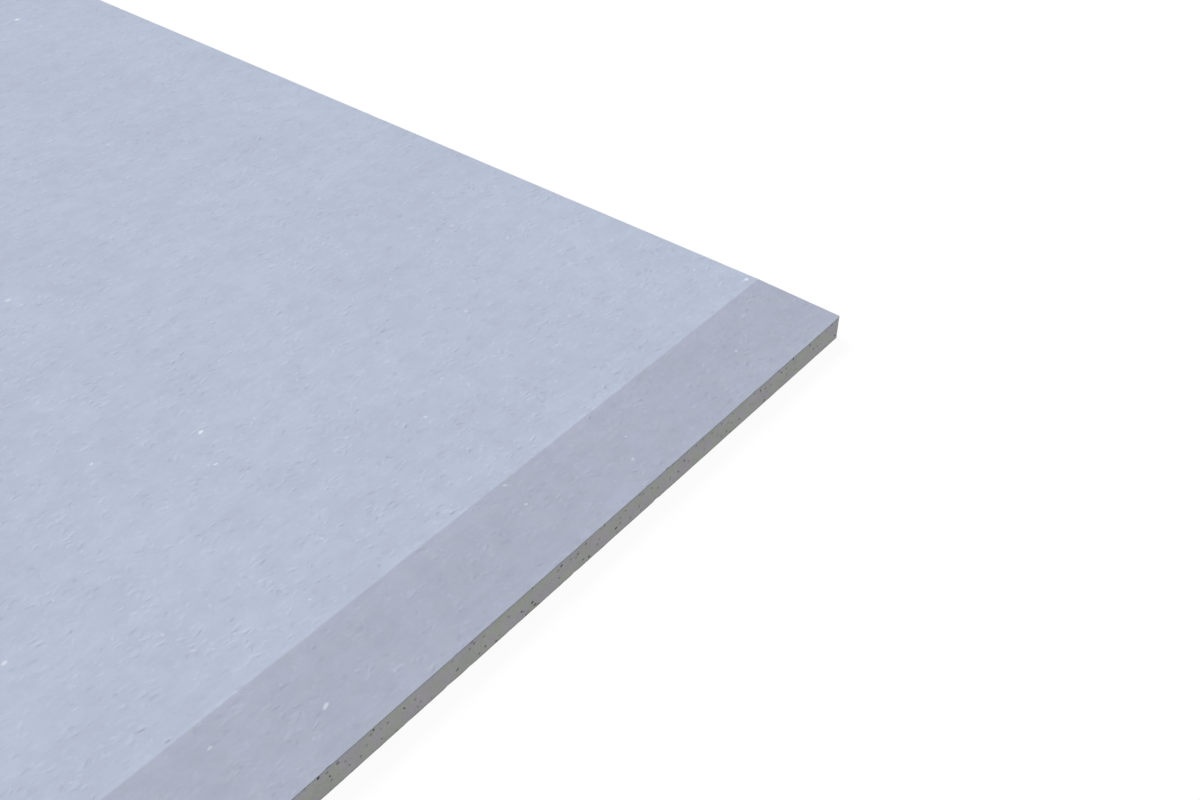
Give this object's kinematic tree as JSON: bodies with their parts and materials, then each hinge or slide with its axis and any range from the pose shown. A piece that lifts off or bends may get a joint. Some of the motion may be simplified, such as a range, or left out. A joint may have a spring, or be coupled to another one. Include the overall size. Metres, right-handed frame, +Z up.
{
  "type": "drywall sheet",
  "caption": "Flat gypsum board sheet with blue-grey face paper, bare grey core edges, a plain back paper and shallow tapers along its long edges, for lining walls and ceilings.",
  "frame": {"origin": "middle of the back, on the floor that the sheet lies on", "axes": "+X along the sheet, +Y across it, +Z up out of its face"},
  "size_m": [2.4, 1.2, 0.0125],
  "materials": {
    "face_paper": "matte",
    "gypsum_core": "matte",
    "back_paper": "matte"
  },
  "bodies": {
    "root": {"face_paper": "face_paper", "gypsum_core": "gypsum_core", "back_paper": "back_paper"}
  },
  "joints": []
}
